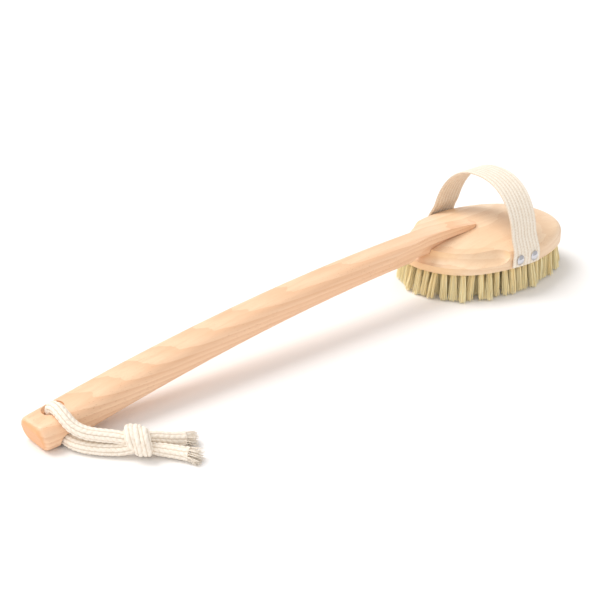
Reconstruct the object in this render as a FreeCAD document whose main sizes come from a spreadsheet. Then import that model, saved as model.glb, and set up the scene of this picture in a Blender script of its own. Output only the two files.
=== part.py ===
"""Long-handled body dry brush: domed oval head, tufts, webbing hand strap, bowed handle, rope.

Millimetres, +Z up. X runs along the brush, with the head at +X. The origin is on the surface
that the brush lies on, under the middle of the brush without its rope.
"""

import FreeCAD, Part

import math
import os

from Sketcher import Constraint

Vector = FreeCAD.Vector

os.makedirs("parts", exist_ok=True)
doc = FreeCAD.newDocument("body_dry_brush")

# ---------------------------------------------------------------- driving dimensions
SIZES = {
    "overall_length": 435.0,
    # head block
    "head_length": 135.0,
    "head_width": 92.7,
    "head_end_radius": 41.0,
    "head_base": 20.4,
    "head_thickness": 18.8,
    "crown_drop": 7.5,
    "rim_radius": 6.0,
    "cove_radius": 11.0,
    "cove_outside": 3.25,
    "cove_height": 35.5,
    "cove_end": 31.0,
    # bristles
    "tuft_pitch": 6.3,
    "ring_pitch": 6.4,
    "first_ring": 4.7,
    "tuft_root_radius": 2.15,
    "tuft_tip_radius": 2.85,
    "outer_splay": 0.9,
    "hole_depth": 8.0,
    "outer_hole_depth": 4.8,
    "hole_clearance": 0.02,
    "anchor_thickness": 0.35,
    "anchor_height": 1.8,
    "anchor_bite": 0.15,
    # handle
    "butt_width": 26.3,
    "neck_width": 20.5,
    "butt_thickness": 17.2,
    "neck_thickness": 16.0,
    "bow_radius": 1650.0,
    "neck_place": 80.5,
    "neck_height": 37.46,
    "neck_slope": 0.0165,
    "bow_slope_at_hole": 0.19,
    "heel_radius": 60.0,
    "heel_end": 8.5,
    "heel_blend": 20.0,
    "butt_lean": 3.3,
    "edge_radius": 6.6,
    "butt_radius": 3.6,
    "facet_start": 46.4,
    "tongue_start": 85.0,
    "tongue_end": 139.5,
    "tongue_root_width": 14.0,
    "tongue_tip_width": 12.4,
    "tongue_top_radius": 450.0,
    "tongue_top_start": 65.0,
    "wing_height": 38.0,
    "shoulder_start": 65.5,
    "key_width": 9.2,
    "key_bottom": 30.7,
    "key_end": 128.0,
    "slot_clearance": 0.3,
    # hand strap
    "strap_width": 26.3,
    "strap_thickness": 2.0,
    "strap_foot": 47.9,
    "strap_bottom": 21.6,
    "strap_spring": 23.8,
    "strap_half_span": 43.05,
    "strap_rise": 50.5,
    "strap_power": 2.27,
    "strap_skew": 0.1668,
    "strap_lean": 0.0905,
    "strap_fold_height": 40.0,
    "strap_gap": 0.3,
    "strap_rock": 15.5,
    # strap nails
    "nail_spacing": 13.8,
    "nail_height": 26.3,
    "nail_head_radius": 3.6,
    "nail_head_height": 1.9,
    "nail_head_rim": 0.25,
    "nail_shank_radius": 0.8,
    "nail_length": 10.0,
    # rope
    "rope_diameter": 7.6,
    "rope_hole_radius": 4.5,
    "rope_hole_place": -201.5,
    "rope_hole_across": 2.5,
    "countersink_radius": 6.6,
    "countersink_depth": 2.6,
    "rope_groove_width": 8.6,
    "rope_groove_height": 4.1,
    "knot_length": 15.0,
    "knot_width": 18.0,
}

sheet = doc.addObject("Spreadsheet::Sheet", "Sizes")
for row, (alias, number) in enumerate(SIZES.items(), start=1):
    sheet.set(f"A{row}", alias)
    sheet.set(f"B{row}", str(number))
    sheet.setAlias(f"B{row}", alias)
doc.recompute()


def size(alias):
    """A driving dimension, read back from the sheet."""
    return float(sheet.get(alias))


HEAD_PLACE = "Sizes.overall_length / 2 - Sizes.head_length / 2"
HEAD_X = size("overall_length") / 2 - size("head_length") / 2
HALF_LENGTH = size("head_length") / 2
HALF_WIDTH = size("head_width") / 2
END_RADIUS = size("head_end_radius")
END_CENTRE = HALF_LENGTH - END_RADIUS
SIDE_RADIUS = (END_CENTRE**2 + HALF_WIDTH**2 - END_RADIUS**2) / (2 * (HALF_WIDTH - END_RADIUS))
SIDE_CENTRE = SIDE_RADIUS - HALF_WIDTH
# The end arcs of the oval reach this far round from the long axis, and the side arcs the rest.
JOIN_ANGLE = math.atan2(SIDE_CENTRE, END_CENTRE)


def amount(expression):
    """The number that an expression of the sheet's cells gives."""
    return float(sheet.evalExpression(expression))


# ---------------------------------------------------------------- document helpers
def new(kind, name, **expressions):
    """A document object with its properties bound to expressions; dots are written as __."""
    thing = doc.addObject(kind, name)
    thing.Label = name
    for prop, expression in expressions.items():
        thing.setExpression(prop.replace("__", "."), expression)
    return thing


def feature(name, shape, at=(0, 0, 0)):
    """A sub-part whose shape is worked out here from the sheet's sizes."""
    thing = doc.addObject("Part::Feature", name)
    thing.Label = name
    thing.Shape = shape
    thing.Placement = FreeCAD.Placement(Vector(*at), FreeCAD.Rotation())
    return thing


def boolean(kind, name, base, tool):
    """A Part::Cut or Part::Common of two objects."""
    thing = doc.addObject(kind, name)
    thing.Label = name
    thing.Base = base
    thing.Tool = tool
    doc.recompute()
    return thing


def origin_plane(body, role):
    """One of a body's own origin planes."""
    return next(f for f in body.Origin.OriginFeatures if f.Role == role)


def new_body(name):
    body = doc.addObject("PartDesign::Body", name)
    body.Label = name
    return body


def body_sketch(body, name, role, offset=0.0):
    """A sketch on one of the body's origin planes, moved along that plane's normal."""
    sketch = body.newObject("Sketcher::SketchObject", name)
    sketch.AttachmentSupport = [(origin_plane(body, role), "")]
    sketch.MapMode = "FlatFace"
    sketch.AttachmentOffset = FreeCAD.Placement(Vector(0, 0, offset), FreeCAD.Rotation())
    return sketch


def free_sketch(name):
    sketch = doc.addObject("Sketcher::SketchObject", name)
    sketch.Label = name
    return sketch


def arc_between(start, end, radius):
    """The shorter arc between two points. A positive radius bulges to the left of the way."""
    first, last = (end, start) if radius > 0 else (start, end)
    chord = last - first
    reach = abs(radius)
    depth = math.sqrt(max(reach**2 - (chord.Length / 2) ** 2, 0.0))
    inward = Vector(-chord.y, chord.x, 0).normalize()
    centre = (first + last) * 0.5 + inward * depth
    begin = math.atan2(first.y - centre.y, first.x - centre.x)
    finish = math.atan2(last.y - centre.y, last.x - centre.x)
    if finish < begin:
        finish += 2 * math.pi
    return Part.ArcOfCircle(Part.Circle(centre, Vector(0, 0, 1), reach), begin, finish)


def bind(sketch, constraint, expression):
    number = sketch.addConstraint(constraint)
    sketch.setExpression(f"Constraints[{number}]", expression)


def draw_outline(sketch, corners, arcs=()):
    """A closed outline. corners are pairs of expressions, and arcs maps a side's number to its
    radius expression, positive where the side bulges to the left of the way round."""
    arcs = dict(arcs)
    points = [Vector(amount(across), amount(up), 0) for across, up in corners]
    count = len(points)
    sides = []
    for k, start in enumerate(points):
        end = points[(k + 1) % count]
        if k in arcs:
            sides.append(sketch.addGeometry(arc_between(start, end, amount(arcs[k])), False))
        else:
            sides.append(sketch.addGeometry(Part.LineSegment(start, end), False))
    ends = []
    for k, side in enumerate(sides):
        curve = sketch.Geometry[side]
        begins = curve.StartPoint.distanceToPoint(points[k]) < 1e-6
        ends.append((1, 2) if begins else (2, 1))
    for k, side in enumerate(sides):
        following = (k + 1) % count
        sketch.addConstraint(
            Constraint("Coincident", side, ends[k][1], sides[following], ends[following][0])
        )
        for word, expression in zip(("DistanceX", "DistanceY"), corners[k]):
            bind(sketch, Constraint(word, -1, 1, side, ends[k][0], amount(expression)), expression)
        if k in arcs:
            radius = abs(amount(arcs[k]))
            bind(sketch, Constraint("Radius", side, radius), f"abs({arcs[k]})")


def tube(points, diameter):
    """A round tube along a route of straight runs joined by tangent arcs. It prints the radii."""
    route = [Vector(*p) for p in points]
    edges = []
    radii = []
    at = route[0]
    for before, corner, after in zip(route, route[1:], route[2:]):
        arriving = (corner - before).normalize()
        leaving = (after - corner).normalize()
        turn = arriving.getAngle(leaving)
        setback = 0.45 * min((corner - before).Length, (after - corner).Length)
        radius = setback / math.tan(turn / 2)
        radii.append(round(radius, 1))
        arc_start = corner - arriving * setback
        arc_end = corner + leaving * setback
        centre_way = (leaving - arriving).normalize()
        centre = corner + centre_way * (radius / math.cos(turn / 2))
        edges.append(Part.LineSegment(at, arc_start).toShape())
        middle = centre - centre_way * radius
        edges.append(Part.Arc(arc_start, middle, arc_end).toShape())
        at = arc_end
    edges.append(Part.LineSegment(at, route[-1]).toShape())
    path = Part.Wire(edges)
    ring = Part.Circle(route[0], route[1] - route[0], diameter / 2).toShape()
    solid = path.makePipeShell([Part.Wire([ring])], True, True)
    ideal = math.pi * diameter**2 / 4 * path.Length
    print("rope run", round(path.Length, 1), "radii", radii, "volume", round(solid.Volume / ideal, 4))
    return solid


# ---------------------------------------------------------------- brush head
def oval_outline(sketch):
    """Four tangent arcs: two ends and two long sides."""
    half = "Sizes.head_length / 2"
    centre = f"({half} - Sizes.head_end_radius)"
    wide = "(Sizes.head_width / 2)"
    end = "Sizes.head_end_radius"
    side = f"(({centre}^2 + {wide}^2 - {end}^2) / (2 * ({wide} - {end})))"
    along = f"({centre} + {end} * {centre} / ({side} - {end}))"
    across = f"({end} * ({side} - {wide}) / ({side} - {end}))"
    corners = [
        (along, across),
        (f"-{along}", across),
        (f"-{along}", f"-{across}"),
        (along, f"-{across}"),
    ]
    arcs = {0: f"-{side}", 1: f"-{end}", 2: f"-{side}", 3: f"-{end}"}
    draw_outline(sketch, corners, arcs)


def on_oval(inset, share):
    """A point on the oval at an inset from the outline, share of the way round, and the outward
    direction there, both in the head's own plane."""
    end = END_RADIUS - inset
    side = SIDE_RADIUS - inset
    end_sweep = 2 * JOIN_ANGLE * end
    side_sweep = (math.pi - 2 * JOIN_ANGLE) * side
    way = (share % 1.0) * 2 * (end_sweep + side_sweep)
    centres = [
        (Vector(END_CENTRE, 0, 0), end, -JOIN_ANGLE, end_sweep),
        (Vector(0, -SIDE_CENTRE, 0), side, JOIN_ANGLE, side_sweep),
        (Vector(-END_CENTRE, 0, 0), end, math.pi - JOIN_ANGLE, end_sweep),
        (Vector(0, SIDE_CENTRE, 0), side, math.pi + JOIN_ANGLE, side_sweep),
    ]
    for centre, radius, first, sweep in centres:
        if way <= sweep:
            angle = first + way / radius
            outward = Vector(math.cos(angle), math.sin(angle), 0)
            return centre + outward * radius, outward
        way -= sweep
    return on_oval(inset, 0.0)


def oval_length(inset):
    return 2 * (
        2 * JOIN_ANGLE * (END_RADIUS - inset)
        + (math.pi - 2 * JOIN_ANGLE) * (SIDE_RADIUS - inset)
    )


def wall_at(along):
    """Half the head's width at a place along its length, on a long side."""
    return math.sqrt(SIDE_RADIUS**2 - along**2) - SIDE_CENTRE


def domed_blank():
    """The oval block, crowned above, with a rounded rim. The crown is the top of a torus whose axis
    lies across the head, so it has one radius along the head and a smaller one across it."""
    outline = free_sketch("head_outline")
    oval_outline(outline)
    slab = new("Part::Extrusion", "head_slab", LengthFwd="Sizes.head_thickness")
    slab.Base = outline
    slab.DirMode = "Normal"
    slab.Solid = True
    drop = "Sizes.crown_drop"
    along = f"(((Sizes.head_length / 2)^2 + {drop}^2) / (2 * {drop}))"
    across = f"(((Sizes.head_width / 2)^2 + {drop}^2) / (2 * {drop}))"
    crown = new(
        "Part::Torus",
        "head_crown",
        Radius1=f"{along} - {across}",
        Radius2=across,
        Placement__Base__z=f"Sizes.head_thickness - {along}",
    )
    crown.Placement.Rotation = FreeCAD.Rotation(Vector(1, 0, 0), 90)
    doc.recompute()
    domed = boolean("Part::Common", "head_domed", slab, crown)
    rim_height = size("head_thickness") / 2
    rim = [
        (number, size("rim_radius"), size("rim_radius"))
        for number, edge in enumerate(domed.Shape.Edges, start=1)
        if edge.BoundBox.ZMin > rim_height and abs(edge.CenterOfMass.y) + abs(edge.CenterOfMass.x) > 40
    ]
    rounded = doc.addObject("Part::Fillet", "head_rounded")
    rounded.Base = domed
    rounded.Edges = rim
    doc.recompute()
    return rounded


def cove_tools():
    """The cutter's path for the finger cove: round the handle end of the oval, from one side of
    the strap to the other, and a ball at each end of it."""
    lift = "Sizes.cove_height - Sizes.head_base"
    tools = []
    end = new(
        "Part::Torus",
        "cove_end",
        Radius1="Sizes.head_end_radius + Sizes.cove_outside",
        Radius2="Sizes.cove_radius",
        Placement__Base__x="-(Sizes.head_length / 2 - Sizes.head_end_radius)",
        Placement__Base__z=lift,
    )
    end.Angle3 = math.degrees(2 * JOIN_ANGLE)
    end.Placement.Rotation = FreeCAD.Rotation(Vector(0, 0, 1), 180 - math.degrees(JOIN_ANGLE))
    tools.append(end)
    reach = SIDE_RADIUS + size("cove_outside")
    stop = math.asin(size("cove_end") / reach)
    sweep = math.degrees(math.pi / 2 - JOIN_ANGLE - stop)
    for side in (1, -1):
        word = "far" if side > 0 else "near"
        flank = new(
            "Part::Torus",
            f"cove_{word}",
            Radius2="Sizes.cove_radius",
            Placement__Base__z=lift,
        )
        flank.Radius1 = reach
        flank.Angle3 = sweep
        first = 180 - math.degrees(JOIN_ANGLE) - sweep if side > 0 else 180 + math.degrees(JOIN_ANGLE)
        flank.Placement.Base.y = -side * SIDE_CENTRE
        flank.Placement.Rotation = FreeCAD.Rotation(Vector(0, 0, 1), first)
        ball = new(
            "Part::Sphere",
            f"cove_ball_{word}",
            Radius="Sizes.cove_radius",
            Placement__Base__x="-Sizes.cove_end",
            Placement__Base__z=lift,
        )
        ball.Placement.Base.y = side * (reach * math.cos(stop) - SIDE_CENTRE)
        tools += [flank, ball]
    return tools


def slot_tool():
    """The slot that takes the handle's tongue: a wide shallow rebate over a narrow key groove."""
    back = "-(Sizes.head_length / 2 + 5)"
    place = f"({HEAD_PLACE})"
    spare = "Sizes.slot_clearance"
    rebate_plan = free_sketch("slot_plan")
    root = f"(Sizes.tongue_root_width / 2 + {spare})"
    tip = f"(Sizes.tongue_tip_width / 2 + {spare})"
    nose = f"(Sizes.tongue_end + {spare} - {place})"
    corners = [
        (back, f"-{root}"),
        (f"Sizes.tongue_start - {place}", f"-{root}"),
        (f"{nose} - {tip}", f"-{tip}"),
        (f"{nose} - {tip}", tip),
        (f"Sizes.tongue_start - {place}", root),
        (back, root),
    ]
    draw_outline(rebate_plan, corners, {2: f"-{tip} * 1.001"})
    rebate = new("Part::Extrusion", "slot_rebate", LengthFwd="Sizes.head_thickness")
    rebate.Base = rebate_plan
    rebate.DirMode = "Normal"
    rebate.Solid = True
    rebate.setExpression(
        "Placement.Base.z", f"Sizes.wing_height - {spare} - Sizes.head_base"
    )
    groove = new(
        "Part::Box",
        "slot_groove",
        Length=f"Sizes.key_end + {spare} - {place} - {back}",
        Width=f"Sizes.key_width + 2 * {spare}",
        Height="Sizes.head_thickness",
        Placement__Base__x=back,
        Placement__Base__y=f"-(Sizes.key_width / 2 + {spare})",
        Placement__Base__z=f"Sizes.key_bottom - {spare} - Sizes.head_base",
    )
    return [rebate, groove]


# ---------------------------------------------------------------- bristles
def tuft_rings():
    """Rings of tuft places, outermost first: each place is its centre and outward direction."""
    rings = []
    inset = size("first_ring")
    while inset < END_RADIUS - 2:
        count = round(oval_length(inset) / size("tuft_pitch"))
        offset = 0.5 * (len(rings) % 2)
        rings.append([on_oval(inset, (k + offset) / count) for k in range(count)])
        inset += size("ring_pitch")
    reach = END_CENTRE + END_RADIUS - inset
    count = round(2 * reach / size("tuft_pitch"))
    row = [Vector(-reach + 2 * reach * (k + 0.5) / count, 0, 0) for k in range(count)]
    rings.append([(place, Vector(1, 0, 0)) for place in row])
    return rings


def ring_hole_depth(number):
    return size("outer_hole_depth") if number == 1 else size("hole_depth")


def tuft_solid(place, outward, number):
    """One tuft: a bundle in its hole, widening below it, cut flat where it meets the surface."""
    splay = size("outer_splay") if number == 1 else 0.0
    base = size("head_base")
    root_radius = size("tuft_root_radius")
    root = Part.makeCylinder(
        root_radius, ring_hole_depth(number) - 0.1, Vector(place.x, place.y, base)
    )
    tip = place + outward * splay
    upper = Part.Circle(Vector(place.x, place.y, base), Vector(0, 0, 1), root_radius)
    lower = Part.Circle(Vector(tip.x, tip.y, 0), Vector(0, 0, 1), size("tuft_tip_radius"))
    brush = Part.makeLoft([Part.Wire(lower.toShape()), Part.Wire(upper.toShape())], True, True)
    return brush.fuse(root)


def anchor_solid(place, number, turn):
    """One flat wire staple across a tuft's fold, biting into the wall of its hole."""
    long = 2 * (size("tuft_root_radius") + size("hole_clearance") + size("anchor_bite"))
    thick = size("anchor_thickness")
    high = size("anchor_height")
    box = Part.makeBox(long, thick, high, Vector(-long / 2, -thick / 2, 0))
    box.rotate(Vector(), Vector(0, 0, 1), turn)
    top = size("head_base") + ring_hole_depth(number)
    box.translate(Vector(place.x, place.y, top - high - 0.4))
    return box


def make_tufts():
    """Rings of tufts and their anchors. Returns the nodes and the drills for the holes."""
    nodes = []
    drills = []
    anchors = []
    for number, ring in enumerate(tuft_rings(), start=1):
        tufts = []
        for place, outward in ring:
            turn = math.degrees(math.atan2(outward.y, outward.x)) + 90
            anchor = anchor_solid(place, number, turn)
            anchors.append(anchor)
            tufts.append(tuft_solid(place, outward, number).cut(anchor))
            drills.append(tuft_drill(place, number))
        nodes.append(feature(f"tuft_ring_{number}", Part.makeCompound(tufts), (HEAD_X, 0, 0)))
        print("ring", number, "tufts", len(ring))
    nodes.append(feature("tuft_anchors", Part.makeCompound(anchors), (HEAD_X, 0, 0)))
    return nodes, drills


def tuft_drill(place, number):
    """The cutter for one blind hole, in the head block's own frame."""
    radius = size("tuft_root_radius") + size("hole_clearance")
    return Part.makeCylinder(radius, ring_hole_depth(number) + 1, Vector(place.x, place.y, -1))


# ---------------------------------------------------------------- strap nails
def nail_places():
    """Each nail's name, place on the head's wall, and which side it is on (-1 near, 1 far)."""
    places = []
    for side in (-1, 1):
        word = "near" if side < 0 else "far"
        middle = side * size("strap_foot") * size("strap_skew")
        for k, shift in enumerate((-0.5, 0.5), start=1):
            along = middle + shift * size("nail_spacing")
            places.append((f"strap_nail_{word}_{k}", along, side))
    return places


def turned(name, corners, arcs, place, axis):
    """A body turned about its own axis from half its section, then stood along another axis."""
    body = new_body(name)
    sketch = body_sketch(body, f"{name}_half", "XY_Plane")
    draw_outline(sketch, corners, arcs)
    revolution = body.newObject("PartDesign::Revolution", f"{name}_turned")
    revolution.Profile = sketch
    revolution.ReferenceAxis = (sketch, ["V_Axis"])
    revolution.Angle = 360
    doc.recompute()
    body.Placement = FreeCAD.Placement(Vector(*place), FreeCAD.Rotation(Vector(0, 1, 0), Vector(*axis)))
    return body


def make_nail(name, along, side):
    """A dome-headed nail: head, shank and point."""
    head = "Sizes.nail_head_radius"
    shank = "Sizes.nail_shank_radius"
    rise = "(Sizes.nail_head_height - Sizes.nail_head_rim)"
    corners = [
        ("0", "Sizes.nail_head_height"),
        ("0", "-Sizes.nail_length"),
        (shank, f"-Sizes.nail_length + 2 * {shank}"),
        (shank, "0"),
        (head, "0"),
        (head, "Sizes.nail_head_rim"),
    ]
    arcs = {5: f"-({head}^2 + {rise}^2) / (2 * {rise})"}
    face = wall_at(along) + size("strap_thickness") + 0.15
    return turned(name, corners, arcs, (HEAD_X + along, side * face, size("nail_height")), (0, side, 0))


def make_head(drills):
    """The head block: domed blank less the cove, the slot, the tuft holes and the nail pilots."""
    blank = domed_blank()
    pilots = []
    for _, along, side in nail_places():
        depth = size("nail_length")
        start = Vector(along, side * (wall_at(along) + 1), size("nail_height") - size("head_base"))
        radius = size("nail_shank_radius") + size("hole_clearance")
        pilots.append(Part.makeCylinder(radius, depth, start, Vector(0, -side, 0)))
    bores = feature("tuft_and_nail_drills", Part.makeCompound(drills + pilots))
    tools = doc.addObject("Part::MultiFuse", "head_cutters")
    tools.Shapes = cove_tools() + slot_tool()
    doc.recompute()
    carved = boolean("Part::Cut", "head_carved", blank, tools)
    head = boolean("Part::Cut", "head_block", carved, bores)
    head.setExpression("Placement.Base.x", HEAD_PLACE)
    head.setExpression("Placement.Base.z", "Sizes.head_base")
    doc.recompute()
    return head


# ---------------------------------------------------------------- handle
BUTT_X = -size("overall_length") / 2


def bow_centre():
    """Centre of the handle's bow, in the plane of X and Z written as a sketch's X and Y."""
    radius = size("bow_radius")
    lean = math.atan(size("neck_slope"))
    return Vector(
        size("neck_place") + radius * math.sin(lean), size("neck_height") - radius * math.cos(lean), 0
    )


def bow_height(along, offset):
    """Height of a line at an offset from the handle's bowed middle line."""
    centre = bow_centre()
    return centre.y + math.sqrt((size("bow_radius") + offset) ** 2 - (along - centre.x) ** 2)


def tongue_height(along):
    """Height of the tongue's top, which leaves the handle's top in a tighter curve."""
    radius = size("tongue_top_radius")
    start = size("tongue_top_start")
    top = size("neck_thickness") / 2
    lean = math.asin((bow_centre().x - start) / (size("bow_radius") + top))
    centre = Vector(start + radius * math.sin(lean), bow_height(start, top) - radius * math.cos(lean), 0)
    return centre.y + math.sqrt(radius**2 - (along - centre.x) ** 2)


def numbers(points):
    """Points worked out from the sheet's sizes, as the text that draw_outline takes."""
    return [(f"{x:.6f}", f"{y:.6f}") for x, y in points]


def handle_side(body):
    """The bowed side profile, with a short flat heel under the butt that the handle rests on."""
    top = size("neck_thickness") / 2
    heel = size("heel_radius")
    heel_start = Vector(BUTT_X + size("heel_end"), 0, 0)
    under_radius = size("bow_radius") - top
    blend = BUTT_X + size("heel_blend")
    end = size("tongue_end") + 5
    lean = size("butt_lean")
    corners = [
        (BUTT_X, bow_height(BUTT_X, size("butt_thickness") / 2)),
        (end, bow_height(end, top)),
        (end, bow_height(end, -top)),
        (blend, bow_height(blend, -top)),
        (heel_start.x, 0.0),
        (BUTT_X + lean, 0.0),
    ]
    sketch = body_sketch(body, "handle_side", "XZ_Plane")
    arcs = {0: size("bow_radius") + top, 2: -under_radius, 3: heel}
    draw_outline(sketch, numbers(corners), {k: f"{radius:.6f}" for k, radius in arcs.items()})
    return sketch


def half_width_at(along):
    """Half the handle's width before its edges are milled."""
    share = (along - BUTT_X) / (size("neck_place") - BUTT_X)
    return (size("butt_width") + share * (size("neck_width") - size("butt_width"))) / 2


def cut_through(body, name, sketch, both_sides):
    """A pocket through the whole body from its middle plane, mirrored across it where asked."""
    doc.recompute()
    before = body.Shape.Volume
    cut = body.newObject("PartDesign::Pocket", name)
    cut.Profile = sketch
    cut.Type = 1
    cut.Midplane = True
    doc.recompute()
    if both_sides:
        mirror = body.newObject("PartDesign::Mirrored", f"{name}_both")
        mirror.Originals = [cut]
        mirror.MirrorPlane = (origin_plane(body, "XZ_Plane"), [""])
        body.Tip = mirror
        doc.recompute()
    print(name, "removed", round(before - body.Shape.Volume, 1))


def milled_sides(body, name, line, arcs=()):
    """Cuts both sides of the handle back to a plan line, given as (along, half width) pairs."""
    far = size("butt_width")
    corners = line + [(line[-1][0], far), (line[0][0], far)]
    sketch = body_sketch(body, f"{name}_plan", "XY_Plane")
    draw_outline(sketch, numbers(corners), arcs)
    cut_through(body, name, sketch, True)


def round_edges(body, name, radius, chosen):
    """A fillet on the edges for which chosen(edge) is true."""
    tip = body.Tip
    names = [f"Edge{k}" for k, edge in enumerate(tip.Shape.Edges, start=1) if chosen(edge)]
    fillet = body.newObject("PartDesign::Fillet", name)
    fillet.Base = (tip, names)
    fillet.setExpression("Radius", radius)
    doc.recompute()
    print(name, "edges", len(names), "state", fillet.State)


def make_handle():
    """The handle, made in the order it is made in wood: sawn bow, tapered sides, routed edges,
    milled tongue, drilled butt."""
    body = new_body("handle")
    blank = body.newObject("PartDesign::Pad", "handle_blank")
    blank.Profile = handle_side(body)
    blank.setExpression("Length", "Sizes.butt_width * 1.1")
    blank.Midplane = True
    doc.recompute()
    end = size("tongue_end")
    ends = (BUTT_X - 1, end + 6)
    milled_sides(body, "taper", [(x, half_width_at(x)) for x in ends])
    round_edges(
        body,
        "routed_edges",
        "Sizes.edge_radius",
        lambda e: e.BoundBox.XLength > 5 and e.BoundBox.YLength < 12,
    )
    round_edges(
        body,
        "butt_edges",
        "Sizes.butt_radius",
        lambda e: e.BoundBox.XMax < BUTT_X + size("butt_lean") + 0.05,
    )
    tongue_tops(body)
    tongue_sides(body)
    tongue_key(body)
    drilled_butt(body)
    return body


def tongue_tops(body):
    """The tongue's top, planed down in a curve to its end."""
    start = size("tongue_top_start")
    end = size("tongue_end") + 6
    high = tongue_height(start) + 5
    corners = [(start, tongue_height(start)), (start, high), (end, high), (end, tongue_height(end))]
    sketch = body_sketch(body, "tongue_top_side", "XZ_Plane")
    radius = f"-{size('tongue_top_radius')}"
    draw_outline(sketch, numbers(corners), {3: radius})
    cut_through(body, "tongue_top", sketch, False)


def tongue_sides(body):
    """The facets that narrow the handle to its tongue, and the tongue's round nose."""
    end = size("tongue_end")
    root = size("tongue_root_width") / 2
    tip = size("tongue_tip_width") / 2
    start = size("facet_start")
    line = [
        (start, half_width_at(start) + 0.02),
        (size("tongue_start"), root),
        (end - tip, tip),
        (end, 0.0),
        (end + 8, 0.0),
    ]
    milled_sides(body, "facets", line, {2: f"{tip:.6f} * 1.001"})


def tongue_key(body):
    """The underside of the tongue: a shoulder that stands on the head, a key on the middle line
    that runs in the head's groove, and two wings above it that run in the rebate."""
    start = size("shoulder_start")
    wing = size("wing_height")
    low = size("key_bottom")
    past = size("tongue_end") + 6
    floor = low - 6
    sketch = body_sketch(body, "key_side", "XZ_Plane")
    key_tip = size("key_end")
    corners = [(start, floor), (start, low - 1.5), (start + 8, low), (key_tip, low), (key_tip, wing)]
    draw_outline(sketch, numbers(corners + [(past, wing), (past, floor)]))
    cut_through(body, "key_under", sketch, False)
    sketch = body_sketch(body, "flank_side", "XZ_Plane", size("key_width") / 2)
    ramp = [(start, floor), (start, low - 0.7), (start + 18.5, wing - 0.6), (start + 22, wing)]
    draw_outline(sketch, numbers(ramp + [(past, wing), (past, floor)]))
    doc.recompute()
    before = body.Shape.Volume
    flank = body.newObject("PartDesign::Pocket", "flank")
    flank.Profile = sketch
    flank.setExpression("Length", "Sizes.butt_width")
    flank.Reversed = True
    doc.recompute()
    mirror = body.newObject("PartDesign::Mirrored", "flank_both")
    mirror.Originals = [flank]
    mirror.MirrorPlane = (origin_plane(body, "XZ_Plane"), [""])
    body.Tip = mirror
    doc.recompute()
    print("flanks removed", round(before - body.Shape.Volume, 1))


def drilled_butt(body):
    """The rope's hole with its countersink, and the groove that lets the rope out underneath."""
    place = size("rope_hole_place")
    across = size("rope_hole_across")
    top = bow_height(place, size("neck_thickness") / 2)
    sketch = body_sketch(body, "rope_hole_half", "XZ_Plane", -across)
    sketch.AttachmentOffset.Base.x = place
    radius = size("rope_hole_radius")
    wide = size("countersink_radius")
    deep = size("countersink_depth")
    slope = size("bow_slope_at_hole")
    corners = [
        (0, -2),
        (radius, -2),
        (radius, top - deep),
        (wide + slope, top + 1),
        (wide + slope, top + 4),
        (0, top + 4),
    ]
    draw_outline(sketch, numbers(corners))
    doc.recompute()
    before = body.Shape.Volume
    bore = body.newObject("PartDesign::Groove", "rope_hole")
    bore.Profile = sketch
    bore.ReferenceAxis = (sketch, ["V_Axis"])
    bore.Angle = 360
    doc.recompute()
    print("rope hole removed", round(before - body.Shape.Volume, 1))
    sketch = body_sketch(body, "rope_groove_round", "XZ_Plane", -across)
    half = size("rope_groove_width") / 2
    high = size("rope_groove_height")
    corners = [(place - half, -2), (place + half, -2), (place + half, high), (place - half, high)]
    draw_outline(sketch, numbers(corners), {2: f"-{half} * 1.001"})
    doc.recompute()
    before = body.Shape.Volume
    groove = body.newObject("PartDesign::Pocket", "rope_groove")
    groove.Profile = sketch
    groove.setExpression("Length", "Sizes.butt_width")
    groove.Reversed = True
    doc.recompute()
    print("rope groove removed", round(before - body.Shape.Volume, 1))


# ---------------------------------------------------------------- hand strap
def strap_line():
    """The strap's middle line across the head: up each wall, in over the rim, and over the hand.
    The arch is half a superellipse on a line at strap_spring height."""
    half = size("strap_half_span")
    spring = size("strap_spring")
    power = size("strap_power")
    foot = size("strap_foot")
    start = math.acos(((size("strap_fold_height") - spring) / size("strap_rise")) ** (power / 2))
    arch = []
    steps = 16
    for k in range(steps + 1):
        angle = start * (1 - 2 * k / steps)
        across = math.copysign(half * abs(math.sin(angle)) ** (2 / power), -angle)
        arch.append((across, spring + size("strap_rise") * math.cos(angle) ** (2 / power)))
    foot_up = [(-foot, size("strap_bottom")), (-foot, 24.5), (-foot, 27.5), (-46.9, 30.9), (-44.6, 34.6)]
    return foot_up + arch + [(-y, z) for y, z in reversed(foot_up)]


def strap_solid():
    """The whole strap as one band: a bent strip as seen along the head, cut on the skew."""
    centre = Part.BSplineCurve()
    centre.interpolate([Vector(0, y, z) for y, z in strap_line()])
    first, last = centre.FirstParameter, centre.LastParameter
    steps = 60
    half = size("strap_thickness") / 2
    edges = []
    for side in (half, -half):
        points = []
        for k in range(steps + 1):
            at = first + (last - first) * k / steps
            along = centre.tangent(at)[0]
            points.append(centre.value(at) + Vector(0, -along.z, along.y) * side)
        curve = Part.BSplineCurve()
        curve.interpolate(points)
        edges.append((curve.toShape(), points[0], points[-1]))
    closing = [
        Part.LineSegment(edges[0][1], edges[1][1]).toShape(),
        Part.LineSegment(edges[0][2], edges[1][2]).toShape(),
    ]
    outline = Part.Wire([edges[0][0], closing[0], edges[1][0], closing[1]])
    reach = size("strap_width") * 2
    strip = Part.Face(outline).extrude(Vector(2 * reach, 0, 0))
    strip.translate(Vector(-reach, 0, 0))
    across = Vector(1, -size("strap_skew"), -size("strap_lean")).normalize()
    wide = size("strap_width")
    slab = Part.makeBox(wide, 400, 400, Vector(-wide / 2, -200, -200))
    slab.Placement = FreeCAD.Placement(
        Vector(0, 0, size("strap_spring")), FreeCAD.Rotation(Vector(1, 0, 0), across)
    )
    return strip.common(slab)


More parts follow.
